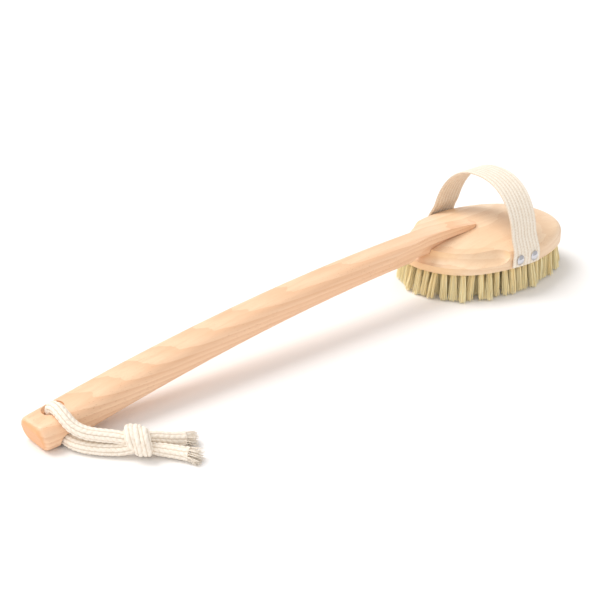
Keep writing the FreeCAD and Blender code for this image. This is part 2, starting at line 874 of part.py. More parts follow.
def make_strap():
    """The strap in three nodes: an end on each side, nailed down, and the arch that leans along the
    head. The ends fall away from the fold line on both sides, which leaves room for the lean."""
    band = strap_solid()
    holes = []
    for _, along, side in nail_places():
        radius = size("nail_shank_radius") + size("hole_clearance")
        start = Vector(along, side * (size("strap_foot") + 5), size("nail_height"))
        holes.append(Part.makeCylinder(radius, 15, start, Vector(0, -side, 0)))
    band = band.cut(Part.makeCompound(holes))
    fold = size("strap_fold_height")
    gap = size("strap_gap") / 2
    rock = size("strap_rock")
    turn_axis = Vector(size("strap_skew"), 1, 0)
    pivot = Vector(size("strap_lean") * (fold - size("strap_spring")), 0, fold)
    reach = 200
    ends = band
    for tilt in (rock, -rock):
        below = Part.makeBox(2 * reach, 2 * reach, reach, Vector(-reach, -reach, fold - gap - reach))
        below.rotate(pivot, turn_axis, tilt)
        ends = ends.common(below)
    sides = {"strap_end_near": -reach, "strap_end_far": 0}
    nodes = []
    for name, start in sides.items():
        half = Part.makeBox(2 * reach, reach, 2 * reach, Vector(-reach, start, 0))
        nodes.append(feature(name, ends.common(half), (HEAD_X, 0, 0)))
    above = Part.makeBox(2 * reach, 2 * reach, reach, Vector(-reach, -reach, fold + gap))
    nodes.append(feature("strap_arch", band.common(above), (HEAD_X, 0, 0)))
    return nodes


# ---------------------------------------------------------------- rope
# Its route, chosen point by point: out of the hole's top and over the side of the butt, out of the
# groove underneath, along the surface to the knot, and two short tails.
ROPE_IN_HANDLE = [(-201.5, 2.5, 17.6), (-201.5, 2.4, 11.5), (-201.5, -2.0, 4.9), (-201.4, -10.2, 4.05)]
UPPER_RUN = [
    (-201.5, 2.5, 17.6),
    (-201.9, -2.6, 20.4),
    (-202.4, -10.8, 19.0),
    (-201.2, -17.4, 14.4),
    (-197.6, -23.6, 12.0),
    (-192.6, -29.4, 11.3),
    (-187.6, -35.0, 11.1),
    (-183.2, -40.4, 10.4),
]
LOWER_RUN = [
    (-201.4, -10.2, 4.05),
    (-201.1, -16.4, 3.9),
    (-198.8, -22.8, 3.95),
    (-195.0, -28.6, 3.9),
    (-190.4, -34.2, 4.0),
    (-184.9, -40.2, 4.6),
]
UPPER_TAIL = [(-171.4, -45.4, 8.6), (-166.6, -47.0, 7.2), (-161.6, -49.4, 5.6), (-154.0, -52.4, 4.2)]
LOWER_TAIL = [(-173.9, -50.6, 5.4), (-169.2, -55.0, 4.4), (-165.2, -60.2, 3.95), (-161.4, -66.4, 3.9)]
KNOT_CENTRE = (-178.1, -44.8, 9.3)
KNOT_AXIS = (0.74, -0.67, -0.04)


def make_rope():
    """The hanging rope in six nodes: through the butt, two runs, the knot and two tails."""
    diameter = size("rope_diameter")
    runs = {
        "rope_in_handle": ROPE_IN_HANDLE,
        "rope_upper_run": UPPER_RUN,
        "rope_lower_run": LOWER_RUN,
        "rope_tail_upper": UPPER_TAIL,
        "rope_tail_lower": LOWER_TAIL,
    }
    nodes = [feature(name, tube(points, diameter)) for name, points in runs.items()]
    half = "(Sizes.knot_length / 2)"
    wide = "(Sizes.knot_width / 2)"
    end = f"({wide} * 0.8)"
    bulge = f"(({half}^2 + ({wide} - {end})^2) / (2 * ({wide} - {end})))"
    corners = [("0", half), ("0", f"-{half}"), (end, f"-{half}"), (end, half)]
    nodes.append(turned("rope_knot", corners, {2: f"-{bulge}"}, KNOT_CENTRE, KNOT_AXIS))
    return nodes


def check_all(nodes):
    """Stops if any object failed, or if any sub-part is empty or not valid."""
    for thing in doc.Objects:
        if "Invalid" in thing.State or "Error" in thing.State:
            raise RuntimeError(f"{thing.Name} failed")
    for node in nodes:
        if node.Shape.isNull() or not node.Shape.isValid():
            raise RuntimeError(f"{node.Label} has no valid shape")


tuft_nodes, tuft_drills = make_tufts()
head_block = make_head(tuft_drills)
nails = [make_nail(*place) for place in nail_places()]
handle = make_handle()
strap = make_strap()
rope = make_rope()
parts = [head_block, handle, *strap, *nails, *rope, *tuft_nodes]
doc.recompute()
for thing in parts:
    if "tuft" not in thing.Label:
        print(thing.Label, thing.Shape.isValid(), thing.Shape.BoundBox)
check_all(parts)
for thing in parts:
    thing.Shape.exportStep(f"parts/{thing.Label}.step")
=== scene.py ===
import math
import random

import bpy
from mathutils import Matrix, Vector


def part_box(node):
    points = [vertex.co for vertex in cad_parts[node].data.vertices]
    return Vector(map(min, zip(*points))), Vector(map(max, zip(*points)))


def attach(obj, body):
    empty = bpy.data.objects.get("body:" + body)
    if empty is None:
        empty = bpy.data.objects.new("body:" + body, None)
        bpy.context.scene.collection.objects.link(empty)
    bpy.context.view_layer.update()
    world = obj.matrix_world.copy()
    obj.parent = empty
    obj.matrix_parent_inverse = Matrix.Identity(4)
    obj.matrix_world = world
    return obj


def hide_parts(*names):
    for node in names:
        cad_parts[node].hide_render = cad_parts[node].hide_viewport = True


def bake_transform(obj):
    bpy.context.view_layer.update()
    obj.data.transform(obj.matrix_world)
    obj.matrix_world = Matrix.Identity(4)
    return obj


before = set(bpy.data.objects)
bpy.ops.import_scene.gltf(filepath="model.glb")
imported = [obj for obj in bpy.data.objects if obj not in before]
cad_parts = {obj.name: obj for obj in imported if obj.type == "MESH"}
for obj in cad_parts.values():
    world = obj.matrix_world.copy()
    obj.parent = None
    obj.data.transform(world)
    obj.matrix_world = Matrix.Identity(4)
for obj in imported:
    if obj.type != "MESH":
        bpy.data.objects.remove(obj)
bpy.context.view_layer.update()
MM = 0.001
TABLE_REACH = 60


# ---------------------------------------------------------------- small helpers
def colour(red, green, blue):
    """A display colour from 0 to 255 as the linear colour that a shader takes."""
    linear = []
    for part in (red, green, blue):
        share = part / 255
        linear.append(share / 12.92 if share <= 0.04045 else ((share + 0.055) / 1.055) ** 2.4)
    return (*linear, 1.0)


def mix(low, high, share):
    return low + (high - low) * share


def smooth_step(low, high, value):
    share = min(max((value - low) / (high - low), 0.0), 1.0)
    return share * share * (3 - 2 * share)


def box_centre(node):
    low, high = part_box(node)
    return (Vector(low) + Vector(high)) / 2


def mesh_object(name, points, faces, material, smooth=True):
    """A mesh object in the scene with one material."""
    mesh = bpy.data.meshes.new(name)
    mesh.from_pydata([tuple(p) for p in points], [], faces)
    mesh.polygons.foreach_set("use_smooth", [smooth] * len(mesh.polygons))
    mesh.materials.append(material)
    mesh.validate()
    thing = bpy.data.objects.new(name, mesh)
    bpy.context.scene.collection.objects.link(thing)
    return thing


def tube_faces(first, rows, sides, downward=False):
    """The faces of a closed tube of rings of points, numbered from first. Downward tubes run
    against the turn of their rings."""
    faces = []
    for row in range(rows - 1):
        for k in range(sides):
            a = first + row * sides + k
            b = first + row * sides + (k + 1) % sides
            faces.append((a, a + sides, b + sides, b) if downward else (a, b, b + sides, a + sides))
    start = tuple(range(first, first + sides))
    last = first + (rows - 1) * sides
    end = tuple(range(last, last + sides))
    faces += [end[::-1], start] if downward else [start[::-1], end]
    return faces


def point_shade(thing, values):
    """Stores one number per point, which the materials read as the attribute named shade."""
    layer = thing.data.attributes.new("shade", "FLOAT", "POINT")
    layer.data.foreach_set("value", values)


# ---------------------------------------------------------------- camera, floor and light
def camera_at(azimuth, elevation, distance, target, lens):
    """A camera that looks at the target. Azimuth 0 looks along +Y."""
    turn = math.radians(azimuth)
    rise = math.radians(elevation)
    back = Vector(
        (math.sin(turn) * math.cos(rise), -math.cos(turn) * math.cos(rise), math.sin(rise))
    )
    data = bpy.data.cameras.new("camera")
    data.lens = lens
    data.sensor_width = 36
    camera = bpy.data.objects.new("camera", data)
    camera.location = Vector(target) + back * distance
    camera.rotation_mode = "QUATERNION"
    camera.rotation_quaternion = back.to_track_quat("Z", "Y")
    bpy.context.scene.collection.objects.link(camera)
    bpy.context.scene.camera = camera


def sun(name, azimuth, elevation, strength, angle, tint):
    """A soft light from a direction: azimuth is where it stands, measured from -Y towards +X."""
    data = bpy.data.lights.new(name, "SUN")
    data.energy = strength
    data.angle = math.radians(angle)
    data.color = tint
    light = bpy.data.objects.new(name, data)
    turn = math.radians(azimuth)
    rise = math.radians(elevation)
    away = Vector(
        (math.sin(turn) * math.cos(rise), -math.cos(turn) * math.cos(rise), math.sin(rise))
    )
    light.rotation_mode = "QUATERNION"
    light.rotation_quaternion = away.to_track_quat("Z", "Y")
    bpy.context.scene.collection.objects.link(light)


def studio():
    """A white table with no edges in sight, a broad soft light from behind on the left, a weaker
    one from the front and even light all round."""
    world = bpy.data.worlds.new("studio")
    world.use_nodes = True
    background = world.node_tree.nodes["Background"]
    background.inputs["Color"].default_value = (1.0, 0.985, 0.97, 1)
    background.inputs["Strength"].default_value = 0.7
    bpy.context.scene.world = world
    sun("key_light", -150, 58, 1.9, 38, (1.0, 0.985, 0.965))
    sun("front_fill", -55, 24, 0.5, 70, (1.0, 0.99, 0.98))
    material = Shader("table_white", colour(250, 249, 249), 0.6)
    material.bsdf.inputs["Specular IOR Level"].default_value = 0.2
    edge = TABLE_REACH
    corners = [(-edge, -edge, 0), (edge, -edge, 0), (edge, edge, 0), (-edge, edge, 0)]
    mesh_object("table", corners, [(0, 1, 2, 3)], material.material, smooth=False)
    bpy.context.scene.view_settings.view_transform = "Standard"


# ---------------------------------------------------------------- materials
class Shader:
    """A material with one principled shader, and short calls to add and join its nodes."""

    def __init__(self, name, base, roughness):
        self.material = bpy.data.materials.new(name)
        self.material.use_nodes = True
        self.tree = self.material.node_tree
        self.bsdf = self.tree.nodes["Principled BSDF"]
        self.bsdf.inputs["Base Color"].default_value = base
        self.bsdf.inputs["Roughness"].default_value = roughness
        self.material.diffuse_color = base

    def node(self, kind, **values):
        """A node. Values set its inputs by name where it has them, and its settings otherwise."""
        made = self.tree.nodes.new(f"ShaderNode{kind}")
        for key, value in values.items():
            socket = key.replace("_", " ")
            if socket in made.inputs and not hasattr(made, key):
                made.inputs[socket].default_value = value
            else:
                setattr(made, key, value)
        return made

    def join(self, source, target):
        self.tree.links.new(source, target)

    def place(self, scale=(1, 1, 1), rotation=(0, 0, 0), location=(0, 0, 0)):
        """The piece's own coordinates, in metres, stretched, turned and moved."""
        coordinates = self.node("TexCoord")
        mapping = self.node("Mapping", Scale=scale, Rotation=rotation, Location=location)
        self.join(coordinates.outputs["Object"], mapping.inputs["Vector"])
        return mapping.outputs["Vector"]

    def noise(self, vector, scale, detail=3.0, roughness=0.5):
        made = self.node("TexNoise", Scale=scale, Detail=detail, Roughness=roughness)
        self.join(vector, made.inputs["Vector"])
        return made.outputs["Fac"]

    def ramp(self, source, low, high, start=0.0, end=1.0):
        """The source stretched from start..end to low..high, with soft ends."""
        made = self.node("MapRange", interpolation_type="SMOOTHSTEP")
        for name, value in (("From Min", start), ("From Max", end), ("To Min", low), ("To Max", high)):
            made.inputs[name].default_value = value
        self.join(source, made.inputs["Value"])
        return made.outputs["Result"]

    def blend(self, share, first, second):
        """Two colours blended by a share, each a colour or an output."""
        made = self.node("Mix", data_type="RGBA")
        for value, socket in ((share, 0), (first, 6), (second, 7)):
            if hasattr(value, "is_linked"):
                self.join(value, made.inputs[socket])
            else:
                made.inputs[socket].default_value = value
        return made.outputs[2]

    def math(self, operation, first, second=0.0):
        made = self.node("Math", operation=operation)
        for value, socket in ((first, 0), (second, 1)):
            if hasattr(value, "is_linked"):
                self.join(value, made.inputs[socket])
            else:
                made.inputs[socket].default_value = value
        return made.outputs["Value"]

    def base(self, output):
        self.join(output, self.bsdf.inputs["Base Color"])

    def roughness(self, output):
        self.join(output, self.bsdf.inputs["Roughness"])

    def bump(self, height, distance, strength=1.0):
        """Fine relief: distance is its full height in metres."""
        made = self.node("Bump", Strength=strength, Distance=distance)
        self.join(height, made.inputs["Height"])
        previous = self.bsdf.inputs["Normal"]
        if previous.is_linked:
            self.join(previous.links[0].from_socket, made.inputs["Normal"])
        self.join(made.outputs["Normal"], self.bsdf.inputs["Normal"])


def beech(name, light, dark, warm, end_tone, pith, tilt, ring_width, seed):
    """Oiled beech. The growth rings lie round a pith line near X, so that long faces show streaks
    and ends show arcs; short dark flecks are the rays."""
    wood = Shader(name, light, 0.42)
    shift = (seed * 0.37, seed * 0.11, seed * 0.23)
    rings = wood.node(
        "TexWave", wave_type="RINGS", rings_direction="X", wave_profile="SAW",
        Scale=0.314 / ring_width, Distortion=3.0, Detail=2.0, Detail_Scale=0.9, Detail_Roughness=0.55,
    )
    wood.join(wood.place(scale=(0.16, 1, 1), rotation=tilt, location=pith), rings.inputs["Vector"])
    broad = wood.noise(wood.place(scale=(2.2, 16, 16), location=shift), 1.6, 2.0)
    fibre = wood.noise(wood.place(scale=(45, 1500, 1500), location=shift), 1.0, 4.0, 0.6)
    streak = wood.noise(wood.place(scale=(9, 260, 260), location=shift), 1.0, 3.0, 0.5)
    flecks = wood.node("TexVoronoi", feature="F1", Scale=1.0, Randomness=1.0)
    wood.join(wood.place(scale=(330, 1250, 1250), location=shift), flecks.inputs["Vector"])
    ring_share = wood.ramp(rings.outputs["Fac"], 0.0, 0.42, 0.15, 1.0)
    tone = wood.blend(ring_share, light, dark)
    tone = wood.blend(wood.ramp(broad, 0.0, 0.55, 0.38, 0.68), tone, warm)
    tone = wood.blend(wood.ramp(streak, 0.0, 0.28, 0.42, 0.75), tone, dark)
    tone = wood.blend(wood.ramp(fibre, 0.0, 0.16, 0.35, 0.75), tone, dark)
    fleck_share = wood.math(
        "MULTIPLY",
        wood.ramp(flecks.outputs["Distance"], 0.55, 0.0, 0.06, 0.26),
        wood.ramp(wood.noise(wood.place(scale=(14, 60, 60), location=shift), 1.0), 0.1, 1.0, 0.4, 0.65),
    )
    tone = wood.blend(fleck_share, tone, colour(176, 120, 78))
    facing = wood.node("SeparateXYZ")
    wood.join(wood.node("TexCoord").outputs["Normal"], facing.inputs[0])
    end_grain = wood.ramp(wood.math("ABSOLUTE", facing.outputs[0]), 0.0, 0.8, 0.55, 0.95)
    tone = wood.blend(end_grain, tone, end_tone)
    wood.base(tone)
    wood.roughness(wood.ramp(fibre, 0.36, 0.52))
    wood.bump(fibre, 0.00006, 0.5)
    wood.bump(fleck_share, -0.00004, 0.5)
    wood.bsdf.inputs["Specular IOR Level"].default_value = 0.42
    wood.bsdf.inputs["Coat Weight"].default_value = 0.12
    wood.bsdf.inputs["Coat Roughness"].default_value = 0.28
    return wood


def cotton(name, light, shadow, bump_scale):
    """Undyed cotton yarn: matt, with a soft sheen, slubs, a fine twist in the yarn and painted shade in the
    hollows between yarns.
    """
    yarn = Shader(name, light, 0.86)
    slub = yarn.noise(yarn.place(), 620, 3.0, 0.6)
    fuzz = yarn.noise(yarn.place(), bump_scale, 4.0, 0.65)
    tone = yarn.blend(yarn.ramp(slub, 0.0, 0.6, 0.38, 0.72), light, shadow)
    # Painted shade: where the shade attribute is low, in the hollows between yarns, the colour darkens
    # towards colour(208, 184, 156).
    shade = yarn.node("Attribute", attribute_name="shade")
    hollow_shade = yarn.ramp(shade.outputs["Fac"], 0.75, 0.0, 0.0, 0.75)
    yarn.base(yarn.blend(hollow_shade, tone, colour(208, 184, 156)))
    yarn.roughness(yarn.ramp(fuzz, 0.78, 0.95))
    yarn.bump(fuzz, 0.00018, 0.7)
    yarn.bsdf.inputs["Sheen Weight"].default_value = 0.25
    yarn.bsdf.inputs["Sheen Roughness"].default_value = 0.5
    yarn.bsdf.inputs["Specular IOR Level"].default_value = 0.2
    return yarn


def plant_fibre():
    """Trimmed plant bristle: straw coloured, each fibre a little different, with painted shade towards the
    root where the fibres crowd.
    """
    straw = Shader("bristle_fibre", colour(240, 214, 158), 0.6)
    shade = straw.node("Attribute", attribute_name="shade").outputs["Fac"]
    # Low shade values, from each fibre's own tone and the painted shade at its root, blend towards the
    # deeper straw colour.
    fibre_tone_and_shade = straw.blend(straw.ramp(shade, 0.0, 1.0), colour(252, 222, 156), colour(255, 246, 206))
    grain = straw.noise(straw.place(scale=(1500, 1500, 220)), 1.0, 2.0)
    straw.base(straw.blend(straw.ramp(grain, 0.0, 0.35, 0.4, 0.7), fibre_tone_and_shade, colour(252, 226, 166)))
    straw.roughness(straw.ramp(grain, 0.5, 0.7))
    straw.bsdf.inputs["Specular IOR Level"].default_value = 0.3
    return straw


def polished_nickel():
    """The nails' domed heads, with faint turning marks."""
    nickel = Shader("nickel", colour(205, 205, 210), 0.08)
    nickel.bsdf.inputs["Metallic"].default_value = 1.0
    marks = nickel.noise(nickel.place(), 900, 2.0)
    nickel.roughness(nickel.ramp(marks, 0.07, 0.2))
    nickel.bump(marks, 0.00001, 0.3)
    return nickel


def drawn_wire():
    """Flat galvanised wire of the staples inside the head."""
    wire = Shader("drawn_wire", colour(186, 186, 190), 0.34)
    wire.bsdf.inputs["Metallic"].default_value = 1.0
    lines = wire.noise(wire.place(scale=(3000, 3000, 400)), 1.0, 2.0)
    wire.roughness(wire.ramp(lines, 0.28, 0.45))
    return wire


# ---------------------------------------------------------------- bristles
OUTER_FIBRES = 72
INNER_FIBRES = 46
TUFT_ROOT_RADIUS = 1.6 * MM
TUFT_REACH = 2.4 * MM
TUFT_LEAN = 1.5 * MM
FIBRE_START = 1.2 * MM
FIBRE_STRAY = 0.55 * MM
FIBRE_BEND = 0.5 * MM


def tuft_places(node):
    """Each tuft's root, at the head's underside, and its tip, from the CAD node's loose parts."""
    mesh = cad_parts[node].data
    parent = list(range(len(mesh.vertices)))

    def root(k):
        while parent[k] != k:
            parent[k] = parent[parent[k]]
            k = parent[k]
        return k

    for edge in mesh.edges:
        first, second = (root(k) for k in edge.vertices)
        parent[first] = second
    low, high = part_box(node)
    middle = (low[2] + high[2]) / 2
    parts = {}
    for vertex in mesh.vertices:
        parts.setdefault(root(vertex.index), []).append(vertex.co)
    joined = {}
    for points in parts.values():
        flat = sum((Vector((p.x, p.y)) for p in points), Vector((0, 0))) / len(points)
        near = next((key for key in joined if (Vector(key) - flat).length < TUFT_REACH), None)
        joined.setdefault(near or tuple(flat), []).extend(points)
    places = []
    for points in joined.values():
        tips = [p for p in points if p.z < low[2] + 0.3 * MM]
        roots = [p for p in points if p.z > middle]
        if tips and roots:
            tip = sum((p.copy() for p in tips), Vector()) / len(tips)
            top = sum((p.copy() for p in roots), Vector()) / len(roots)
            places.append((Vector((top.x, top.y, 0)), Vector((tip.x, tip.y, 0))))
    return places


def disc_point(chance, radius):
    """A random point in a disc."""
    turn = chance.uniform(0, 2 * math.pi)
    reach = radius * math.sqrt(chance.random())
    return Vector((reach * math.cos(turn), reach * math.sin(turn), 0))


def make_bristles(node, number, material, base):
    """A ring of tufts as separate fibres: tight where they leave the wood, spreading and leaning
    a little to their trimmed ends."""
    chance = random.Random(100 + number)
    centre = box_centre("head_block")
    points = []
    faces = []
    shades = []
    outer = number == 1
    fibres = OUTER_FIBRES if outer else INNER_FIBRES
    sides = 3
    stations = (0.0, 0.35, 0.7, 1.0)
    for root, tip in tuft_places(node):
        outward = Vector((root.x - centre.x, root.y - centre.y, 0)).normalized()
        lean = disc_point(chance, TUFT_LEAN)
        if outer:
            lean = lean + outward * (chance.uniform(0.2, 2.8) * MM)
        tuft_tone = chance.uniform(-0.1, 0.1)
        for _ in range(fibres):
            spot = disc_point(chance, 1.0)
            start = root + spot * TUFT_ROOT_RADIUS + Vector((0, 0, base + FIBRE_START))
            spread = mix(1.7, 3.3, chance.random()) * MM
            end = tip + lean + spot * spread + disc_point(chance, FIBRE_STRAY)
            end.z = chance.uniform(0.0, 1.5) * MM + 1.6 * MM * spot.length_squared * chance.random()
            bend = disc_point(chance, FIBRE_BEND)
            thick = chance.uniform(0.15, 0.23) * MM
            tone = min(max(0.72 + tuft_tone + chance.uniform(-0.28, 0.28), 0), 1)
            turn = chance.uniform(0, 2 * math.pi)
            first = len(points)
            for share in stations:
                spot_here = start.lerp(end, share) + bend * (4 * share * (1 - share))
                width = thick * mix(1.0, 0.72, share)
                for k in range(sides):
                    angle = turn + 2 * math.pi * k / sides
                    points.append(
                        spot_here + Vector((math.cos(angle), math.sin(angle), 0)) * width
                    )
                    # Painted shade: each fibre's shade number drops to half at its root, where the crowded
                    # fibres shade one another.
                    shades.append(tone * mix(0.5, 1.0, smooth_step(0.0, 0.5, share)))
            faces += tube_faces(first, len(stations), sides, downward=True)
    bristles = mesh_object(f"bristles_{number}", points, faces, material, smooth=False)
    point_shade(bristles, shades)
    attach(bristles, "root")
    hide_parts(node)


# ---------------------------------------------------------------- hand strap
STRAP_HALF_SPAN = 43.05
STRAP_SPRING = 23.8
STRAP_RISE = 50.5
STRAP_POWER = 2.27
STRAP_FOOT = 47.9
STRAP_BOTTOM = 21.6
STRAP_FOLD = 40.0
STRAP_SKEW = 0.1668
STRAP_LEAN = 0.0905
STRAP_WIDTH = 26.3
STRAP_THICKNESS = 1.7
HEAD_END_RADIUS = 41.0


def strap_route():
    """The strap's middle line from the near foot to the far one, as (y, z) in millimetres."""
    start = math.acos(((STRAP_FOLD - STRAP_SPRING) / STRAP_RISE) ** (STRAP_POWER / 2))
    arch = []
    steps = 28
    for k in range(steps + 1):
        angle = start * (1 - 2 * k / steps)
        across = math.copysign(STRAP_HALF_SPAN * abs(math.sin(angle)) ** (2 / STRAP_POWER), -angle)
        rise = STRAP_RISE * math.cos(angle) ** (2 / STRAP_POWER)
        arch.append((across, STRAP_SPRING + rise))
    foot = [
        (-STRAP_FOOT, STRAP_BOTTOM),
        (-STRAP_FOOT, 24.5),
        (-STRAP_FOOT, 27.5),
        (-46.9, 30.9),
        (-44.6, 34.6),
    ]
    return foot + arch + [(-y, z) for y, z in reversed(foot)]


def smooth_line(points, step):
    """Evenly spaced points on the smooth line near a route, with its length."""
    curve = bpy.data.curves.new("route", "CURVE")
    curve.dimensions = "3D"
    spline = curve.splines.new("NURBS")
    spline.points.add(len(points) - 1)
    for control, point in zip(spline.points, points):
        control.co = (*point, 1.0)
    spline.order_u = 3
    spline.use_endpoint_u = True
    spline.resolution_u = 24
    holder = bpy.data.objects.new("route", curve)
    bpy.context.scene.collection.objects.link(holder)
    mesh = bpy.data.meshes.new_from_object(holder)
    line = [vertex.co.copy() for vertex in mesh.vertices]
    bpy.data.objects.remove(holder)
    bpy.data.meshes.remove(mesh)
    bpy.data.curves.remove(curve)
    reach = [0.0]
    for before, after in zip(line, line[1:]):
        reach.append(reach[-1] + (after - before).length)
    count = max(2, round(reach[-1] / step))
    even = []
    k = 0
    for n in range(count + 1):
        want = reach[-1] * n / count
        while k < len(line) - 2 and reach[k + 1] < want:
            k += 1
        share = (want - reach[k]) / max(reach[k + 1] - reach[k], 1e-12)
        even.append(line[k].lerp(line[k + 1], min(max(share, 0.0), 1.0)))
    return even, reach[-1]


def web_height(along, across):
    """Relief of the webbing, 0 to 1: narrow columns whose yarns slant one way and then the other."""
    column_width = 3.3
    yarn_pitch = 1.9
    column = across / column_width
    number = math.floor(column)
    local = column - number
    slant = 1 if number % 2 else -1
    phase = along / yarn_pitch + slant * local * 1.1
    yarn = abs(math.sin(math.pi * phase))
    ridge = math.sin(math.pi * local)
    return (0.35 + 0.65 * yarn) * ridge**0.6


def side_radius():
    """The radius of the head's long side walls, in millimetres, from its size and end radius."""
    low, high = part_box("head_block")
    half_length = (high[0] - low[0]) / 2 / MM
    half_width = (high[1] - low[1]) / 2 / MM
    centre = half_length - HEAD_END_RADIUS
    return (centre**2 + half_width**2 - HEAD_END_RADIUS**2) / (2 * (half_width - HEAD_END_RADIUS))


def wall_inset(along, side):
    """How far the head's side wall falls back from its widest place, in millimetres."""
    return side - math.sqrt(side**2 - along**2)


def make_strap(material):
    """The cotton webbing, woven in relief on both faces, with round selvedges and folded feet."""
    middle = box_centre("head_block").x
    wall = side_radius()
    line, length = smooth_line([(0, y * MM, z * MM) for y, z in strap_route()], 0.55 * MM)
    half = STRAP_WIDTH / 2 * math.sqrt(1 + STRAP_SKEW**2 + STRAP_LEAN**2)
    columns = 84
    points = []
    shades = []
    count = len(line)
    chance = random.Random(7)
    waves = [(chance.uniform(0.02, 0.09), chance.uniform(0, 6.3)) for _ in range(4)]
    for row, spot in enumerate(line):
        tangent = (line[min(row + 1, count - 1)] - line[max(row - 1, 0)]).normalized()
        outward = Vector((0, -tangent.z, tangent.y))
        if outward.dot(Vector((0, spot.y, spot.z - 0.03))) < 0:
            outward = -outward
        along = row * length / (count - 1) / MM
        y, z = spot.y / MM, spot.z / MM
        shift = STRAP_SKEW * y + STRAP_LEAN * (z - STRAP_SPRING)
        hug = 1 - smooth_step(27, 37, z)
        wander = sum(0.1 * math.sin(along * rate + phase) for rate, phase in waves)
        for k in range(2 * columns):
            side = 1 if k < columns else -1
            share = (k % columns) / (columns - 1)
            across = mix(-half, half, share if side > 0 else 1 - share)
            edge = max(0.0, abs(across) - (half - 0.9)) / 0.9
            crown = math.sqrt(max(0.0, 1 - edge**2))
            relief = web_height(along, across + half) if edge < 1 else 0.0
            thick = (STRAP_THICKNESS / 2 - 0.36) * crown + 0.36 * relief * crown
            place = spot.copy()
            x = shift + across + wander
            place.x = middle + x * MM
            place.y -= math.copysign(hug * wall_inset(shift + across, wall) * MM, spot.y)
            points.append(place + outward * side * thick * MM)
            # Painted shade: the shade number follows the weave's relief, so the hollows between yarns and
            # the selvedges get darker colour.
            shades.append(mix(0.05, 1.0, relief))
    faces = []
    ring = 2 * columns
    for row in range(count - 1):
        for k in range(ring):
            a = row * ring + k
            b = row * ring + (k + 1) % ring
            faces.append((a, b, b + ring, a + ring))
    for row in (0, count - 1):
        first = row * ring
        for k in range(columns - 1):
            quad = (first + k, first + k + 1, first + ring - 2 - k, first + ring - 1 - k)
            faces.append(quad if row else quad[::-1])
    strap = mesh_object("strap_webbing", points, faces, material)
    point_shade(strap, shades)
    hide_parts("strap_end_near", "strap_arch", "strap_end_far")
    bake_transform(strap)
    return strap


# ---------------------------------------------------------------- rope
# The route's points, in millimetres. Each rope's smooth line passes near them.
ROPE_IN_HANDLE = [(-201.5, 2.5, 17.6), (-201.5, 2.4, 11.5), (-201.5, -2.0, 4.9), (-201.4, -10.2, 4.05)]
UPPER_RUN = [
    (-201.5, 2.5, 17.6),
    (-201.9, -2.6, 20.4),
    (-202.4, -10.8, 19.0),
    (-201.2, -17.4, 14.4),
    (-197.6, -23.6, 12.0),
    (-192.6, -29.4, 11.3),
    (-187.6, -35.0, 11.1),
    (-183.2, -40.4, 10.4),
]
LOWER_RUN = [
    (-201.4, -10.2, 4.05),
    (-201.1, -16.4, 3.9),
    (-198.8, -22.8, 3.95),
    (-195.0, -28.6, 3.9),
    (-190.4, -34.2, 4.0),
    (-184.9, -40.2, 4.6),
]
UPPER_TAIL = [(-171.4, -45.4, 8.6), (-166.6, -47.0, 7.2), (-161.6, -49.4, 5.6), (-154.0, -52.4, 4.2)]
LOWER_TAIL = [(-173.9, -50.6, 5.4), (-169.2, -55.0, 4.4), (-165.2, -60.2, 3.95), (-161.4, -66.4, 3.9)]
KNOT_CENTRE = Vector((-178.1, -44.8, 9.3))
KNOT_AXIS = Vector((0.74, -0.67, -0.04)).normalized()
ROPE_RADIUS = 3.8
FRAY_FIBRES = 150
FRAY_OVERLAP = 2.5
KNOT_TURNS = 2.6
KNOT_TURN_RADIUS = 3.25


def metres(route):
    return [Vector(point) * MM for point in route]


def carried_frames(line):
    """Two directions across a line at each of its points, carried along it without twisting."""
    tangents = [
        (line[min(k + 1, len(line) - 1)] - line[max(k - 1, 0)]).normalized() for k in range(len(line))
    ]
    side = tangents[0].orthogonal().normalized()
    frames = []
    for tangent in tangents:
        side = (side - tangent * side.dot(tangent)).normalized()
        frames.append((side, tangent.cross(side)))
    return frames


def braid_height(turn, along, columns, pitch):
    """Relief of a braid, 0 to 1: columns of yarns that slant one way and then the other."""
    number = math.floor(turn * columns)
    local = turn * columns - number
    slant = 1 if number % 2 else -1
    phase = along / pitch + slant * (local - 0.5) * 0.8 + 0.5 * (number // 2 % 2)
    yarn = abs(math.sin(math.pi * phase))
    return math.sin(math.pi * local) ** 0.5 * (0.35 + 0.65 * yarn**0.7)


def braided_tube(name, line, radius_at, material, columns=8, relief=0.7):
    """A soft braided cord along a line. radius_at gives its radius, in millimetres, by the share of
    its length."""
    sides = columns * 7
    frames = carried_frames(line)
    points = []
    shades = []
    along = 0.0
    for row, (spot, (side, up)) in enumerate(zip(line, frames)):
        if row:
            along += (spot - line[row - 1]).length / MM
        radius = radius_at(row / (len(line) - 1))
        for k in range(sides):
            turn = k / sides
            height = braid_height(turn, along, columns, 3.1)
            reach = radius - relief + relief * height
            angle = 2 * math.pi * turn
            points.append(spot + (side * math.cos(angle) + up * math.sin(angle)) * reach * MM)
            # Painted shade: the shade number follows the braid's relief, so the hollows between yarns get
            # darker colour.
            shades.append(mix(0.15, 1.0, height))
    tube = mesh_object(name, points, tube_faces(0, len(line), sides), material)
    point_shade(tube, shades)
    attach(tube, "handle")
    return tube


